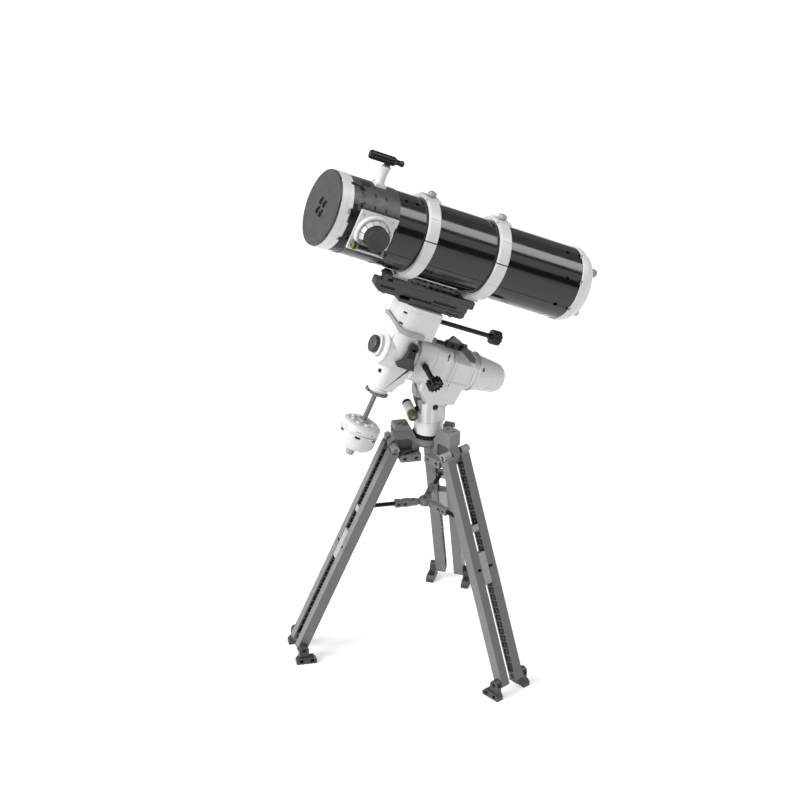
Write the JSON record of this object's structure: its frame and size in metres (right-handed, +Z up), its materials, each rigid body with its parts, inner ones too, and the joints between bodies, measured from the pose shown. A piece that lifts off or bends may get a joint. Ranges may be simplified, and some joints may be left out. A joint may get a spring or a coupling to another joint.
{
  "type": "newtonian reflector telescope",
  "caption": "Toy-brick scale model of a Newtonian reflector telescope with a capped black tube, side focuser and finder, on a German equatorial mount and folding tripod.",
  "frame": {"origin": "bottom centre of the bounding box, on the floor under the stand", "axes": "+Z up; the tube and the polar axis lie in the XZ plane with the tube mouth towards -X and upwards; the focuser faces -Y"},
  "size_m": [0.3299, 0.2815, 0.5999],
  "materials": {
    "black_plastic": "glossy black moulded ABS",
    "dark_grey_plastic": "semi-gloss dark grey moulded ABS",
    "stand_grey_plastic": "semi-gloss bluish grey moulded ABS",
    "light_grey_plastic": "semi-gloss light grey moulded ABS",
    "white_plastic": "glossy white moulded ABS",
    "tan_plastic": "glossy tan moulded ABS",
    "mirror": "polished mirror film"
  },
  "bodies": {
    "tripod_hub": {"tripod_hub": "stand_grey_plastic", "leg_pin_1": "light_grey_plastic", "leg_pin_2": "light_grey_plastic", "leg_pin_3": "light_grey_plastic"},
    "leg_1": {"leg_rail_1a": "stand_grey_plastic", "leg_rail_1b": "stand_grey_plastic"},
    "feet_1": {"foot_1a": "dark_grey_plastic", "foot_1b": "dark_grey_plastic"},
    "leg_2": {"leg_rail_2a": "stand_grey_plastic", "leg_rail_2b": "stand_grey_plastic"},
    "feet_2": {"foot_2a": "dark_grey_plastic", "foot_2b": "dark_grey_plastic"},
    "leg_3": {"leg_rail_3a": "stand_grey_plastic", "leg_rail_3b": "stand_grey_plastic"},
    "feet_3": {"foot_3a": "dark_grey_plastic", "foot_3b": "dark_grey_plastic"},
    "spreader_hub": {"spreader_hub": "stand_grey_plastic"},
    "spreader_arm_1": {"spreader_arm_1": "black_plastic"},
    "spreader_arm_2": {"spreader_arm_2": "black_plastic"},
    "spreader_arm_3": {"spreader_arm_3": "black_plastic"},
    "azimuth": {"azimuth_base": "white_plastic", "latitude_pin": "black_plastic"},
    "latitude_bolt": {"latitude_bolt": "white_plastic"},
    "latitude": {"ra_housing": "white_plastic", "ra_rear_cap": "white_plastic"},
    "ra_clamp_lever": {"ra_clamp_lever": "dark_grey_plastic"},
    "ra_slow_motion_knob": {"ra_slow_motion_knob": "black_plastic"},
    "right_ascension": {"dec_housing": "white_plastic", "polar_axle": "dark_grey_plastic", "dec_head": "white_plastic", "counterweight_shaft": "stand_grey_plastic"},
    "front_cap_knob": {"front_cap_knob": "dark_grey_plastic"},
    "dec_clamp_lever": {"dec_clamp_lever": "dark_grey_plastic"},
    "dec_slow_motion_knob": {"dec_slow_motion_knob": "black_plastic"},
    "counterweight": {"counterweight": "white_plastic"},
    "shaft_end_knob": {"shaft_end_knob": "light_grey_plastic"},
    "declination": {"saddle": "dark_grey_plastic"},
    "dovetail": {"dovetail_bar": "dark_grey_plastic", "ring_front_lower": "white_plastic", "ring_rear_lower": "white_plastic"},
    "dovetail_stop_knob": {"dovetail_stop_knob": "dark_grey_plastic"},
    "ring_front_upper": {"ring_front_upper": "white_plastic"},
    "ring_rear_upper": {"ring_rear_upper": "white_plastic"},
    "ring_front_knob": {"ring_front_knob": "light_grey_plastic"},
    "ring_rear_knob": {"ring_rear_knob": "light_grey_plastic"},
    "tube": {"tube": "black_plastic", "front_ring": "white_plastic", "rear_cell": "white_plastic", "primary_mirror": "mirror", "secondary_holder": "black_plastic", "focuser_base": "white_plastic", "finder_stalk": "white_plastic"},
    "dust_cap": {"dust_cap": "dark_grey_plastic"},
    "drawtube": {"drawtube": "dark_grey_plastic"},
    "eyepiece": {"eyepiece": "dark_grey_plastic"},
    "focus_axle": {"focus_axle": "black_plastic"},
    "finder": {"finder": "black_plastic"},
    "collimation_knob_1": {"collimation_knob_1": "light_grey_plastic"},
    "collimation_knob_2": {"collimation_knob_2": "light_grey_plastic"},
    "collimation_knob_3": {"collimation_knob_3": "light_grey_plastic"}
  },
  "joints": [
    {"name": "leg_1_fold", "type": "hinge", "parent": "tripod_hub", "child": "leg_1", "pos_m": [-0.05667, 0.00736, 0.2535], "axis": [-0.0785, -0.9969, 0], "range_deg": [0, 18]},
    {"name": "feet_1_tilt", "type": "hinge", "parent": "leg_1", "child": "feet_1", "pos_m": [-0.15434, 0.01504, 0.01699], "axis": [-0.0785, -0.9969, 0], "range_deg": [-20, 12]},
    {"name": "leg_2_fold", "type": "hinge", "parent": "tripod_hub", "child": "leg_2", "pos_m": [0.00257, -0.03336, 0.2535], "axis": [0.9026, 0.4305, 0], "range_deg": [0, 18]},
    {"name": "feet_2_tilt", "type": "hinge", "parent": "leg_2", "child": "feet_2", "pos_m": [0.04474, -0.12178, 0.01699], "axis": [0.9026, 0.4305, 0], "range_deg": [-20, 12]},
    {"name": "leg_3_fold", "type": "hinge", "parent": "tripod_hub", "child": "leg_3", "pos_m": [0.00821, 0.0383, 0.2535], "axis": [-0.8241, 0.5664, 0], "range_deg": [0, 18]},
    {"name": "feet_3_tilt", "type": "hinge", "parent": "leg_3", "child": "feet_3", "pos_m": [0.0637, 0.11904, 0.01699], "axis": [-0.8241, 0.5664, 0], "range_deg": [-20, 12]},
    {"name": "spreader_rise", "type": "slide", "parent": "tripod_hub", "child": "spreader_hub", "axis": [0, 0, 1], "range_m": [0, 0.0415]},
    {"name": "spreader_arm_1_fold", "type": "hinge", "parent": "spreader_hub", "child": "spreader_arm_1", "pos_m": [-0.02627, 0.00496, 0.181], "axis": [-0.0785, -0.9969, 0], "range_deg": [0, 55.5]},
    {"name": "spreader_arm_2_fold", "type": "hinge", "parent": "spreader_hub", "child": "spreader_arm_2", "pos_m": [-0.01056, -0.00583, 0.181], "axis": [0.9026, 0.4305, 0], "range_deg": [0, 55.5]},
    {"name": "spreader_arm_3_fold", "type": "hinge", "parent": "spreader_hub", "child": "spreader_arm_3", "pos_m": [-0.00907, 0.01316, 0.181], "axis": [-0.8241, 0.5664, 0], "range_deg": [0, 55.5]},
    {"name": "azimuth_turn", "type": "hinge", "parent": "tripod_hub", "child": "azimuth", "pos_m": [-0.0153, 0.0041, 0.269], "axis": [0, 0, 1], "continuous": true},
    {"name": "latitude_bolt_turn", "type": "hinge", "parent": "azimuth", "child": "latitude_bolt", "pos_m": [-0.0377, 0.0041, 0.297], "axis": [1, 0, 0], "continuous": true},
    {"name": "latitude_tilt", "type": "hinge", "parent": "azimuth", "child": "latitude", "pos_m": [-0.0143, 0.0041, 0.304], "axis": [0, 1, 0], "range_deg": [-10, 20]},
    {"name": "ra_clamp_turn", "type": "hinge", "parent": "latitude", "child": "ra_clamp_lever", "pos_m": [-0.02041, -0.0079, 0.38365], "axis": [-0.9239, 0, 0.3827], "range_deg": [0, 60]},
    {"name": "ra_slow_motion_turn", "type": "hinge", "parent": "latitude", "child": "ra_slow_motion_knob", "pos_m": [-0.03092, -0.0161, 0.35932], "axis": [0.0903, -0.9304, -0.3552], "continuous": true},
    {"name": "ra_turn", "type": "hinge", "parent": "latitude", "child": "right_ascension", "pos_m": [-0.057, 0.0041, 0.3711], "axis": [0.9239, 0, -0.3827], "range_deg": [-90, 60]},
    {"name": "front_cap_turn", "type": "hinge", "parent": "right_ascension", "child": "front_cap_knob", "pos_m": [-0.07917, 0.0041, 0.38028], "axis": [0.9239, 0, -0.3827], "continuous": true},
    {"name": "dec_clamp_turn", "type": "hinge", "parent": "right_ascension", "child": "dec_clamp_lever", "pos_m": [-0.04351, -0.0159, 0.38067], "axis": [0, 1, 0], "range_deg": [-3, 30]},
    {"name": "dec_slow_motion_turn", "type": "hinge", "parent": "right_ascension", "child": "dec_slow_motion_knob", "pos_m": [-0.01478, -0.0119, 0.40665], "axis": [0.9239, 0, -0.3827], "continuous": true},
    {"name": "counterweight_slide", "type": "slide", "parent": "right_ascension", "child": "counterweight", "axis": [0.3827, 0, 0.9239], "range_m": [0, 0.032]},
    {"name": "shaft_end_turn", "type": "hinge", "parent": "right_ascension", "child": "shaft_end_knob", "pos_m": [-0.10292, 0.0041, 0.26023], "axis": [0.3827, 0, 0.9239], "continuous": true},
    {"name": "dec_turn", "type": "hinge", "parent": "right_ascension", "child": "declination", "pos_m": [-0.03519, 0.0041, 0.42376], "axis": [0.3827, 0, 0.9239], "continuous": true},
    {"name": "dovetail_slide", "type": "slide", "parent": "declination", "child": "dovetail", "axis": [-0.9239, 0, 0.3827], "range_m": [-0.012, 0.012]},
    {"name": "dovetail_stop_turn", "type": "hinge", "parent": "dovetail", "child": "dovetail_stop_knob", "pos_m": [-0.0744, -0.0099, 0.46706], "axis": [0.3827, 0, 0.9239], "continuous": true},
    {"name": "ring_front_open", "type": "hinge", "parent": "dovetail", "child": "ring_front_upper", "pos_m": [-0.04088, 0.0501, 0.50016], "axis": [-0.9239, 0, 0.3827], "range_deg": [0, 110]},
    {"name": "ring_front_knob_turn", "type": "hinge", "parent": "ring_front_upper", "child": "ring_front_knob", "pos_m": [-0.02344, 0.0041, 0.54229], "axis": [0.3827, 0, 0.9239], "continuous": true},
    {"name": "ring_rear_open", "type": "hinge", "parent": "dovetail", "child": "ring_rear_upper", "pos_m": [0.03903, 0.0501, 0.46705], "axis": [-0.9239, 0, 0.3827], "range_deg": [0, 110]},
    {"name": "ring_rear_knob_turn", "type": "hinge", "parent": "ring_rear_upper", "child": "ring_rear_knob", "pos_m": [0.05648, 0.0041, 0.50918], "axis": [0.3827, 0, 0.9239], "continuous": true},
    {"name": "tube_roll", "type": "hinge", "parent": "dovetail", "child": "tube", "pos_m": [-0.00901, 0.0041, 0.48695], "axis": [0.9239, 0, -0.3827], "range_deg": [-45, 45]},
    {"name": "dust_cap_pull", "type": "slide", "parent": "tube", "child": "dust_cap", "axis": [-0.9239, 0, 0.3827], "range_m": [0, 0.03]},
    {"name": "focus_turn", "type": "hinge", "parent": "tube", "child": "focus_axle", "pos_m": [-0.10683, -0.0439, 0.5108], "axis": [0.9239, 0, -0.3827], "range_deg": [-72, 180]},
    {"name": "focus_travel", "type": "slide", "parent": "tube", "child": "drawtube", "axis": [0, -1, 0], "range_m": [-0.004, 0.01]},
    {"name": "eyepiece_pull", "type": "slide", "parent": "drawtube", "child": "eyepiece", "axis": [0, -1, 0], "range_m": [0, 0.012]},
    {"name": "finder_swivel", "type": "hinge", "parent": "tube", "child": "finder", "pos_m": [-0.07329, 0.0041, 0.58134], "axis": [0.3827, 0, 0.9239], "range_deg": [-20, 20]},
    {"name": "collimation_1_turn", "type": "hinge", "parent": "tube", "child": "collimation_knob_1", "pos_m": [0.14805, 0.0311, 0.4219], "axis": [0.9239, 0, -0.3827], "continuous": true},
    {"name": "collimation_2_turn", "type": "hinge", "parent": "tube", "child": "collimation_knob_2", "pos_m": [0.157, -0.0094, 0.4435], "axis": [0.9239, 0, -0.3827], "continuous": true},
    {"name": "collimation_3_turn", "type": "hinge", "parent": "tube", "child": "collimation_knob_3", "pos_m": [0.1391, -0.0094, 0.4003], "axis": [0.9239, 0, -0.3827], "continuous": true}
  ],
  "couplings": [
    {"joint": "leg_2_fold", "follows": "leg_1_fold", "ratio": 1},
    {"joint": "leg_3_fold", "follows": "leg_1_fold", "ratio": 1},
    {"joint": "spreader_rise", "follows": "leg_1_fold", "m_per_rad": 0.13114},
    {"joint": "spreader_arm_1_fold", "follows": "leg_1_fold", "ratio": 3.0667},
    {"joint": "spreader_arm_2_fold", "follows": "leg_1_fold", "ratio": 3.0667},
    {"joint": "spreader_arm_3_fold", "follows": "leg_1_fold", "ratio": 3.0667},
    {"joint": "focus_turn", "follows": "focus_travel", "rad_per_m": 312.5}
  ]
}
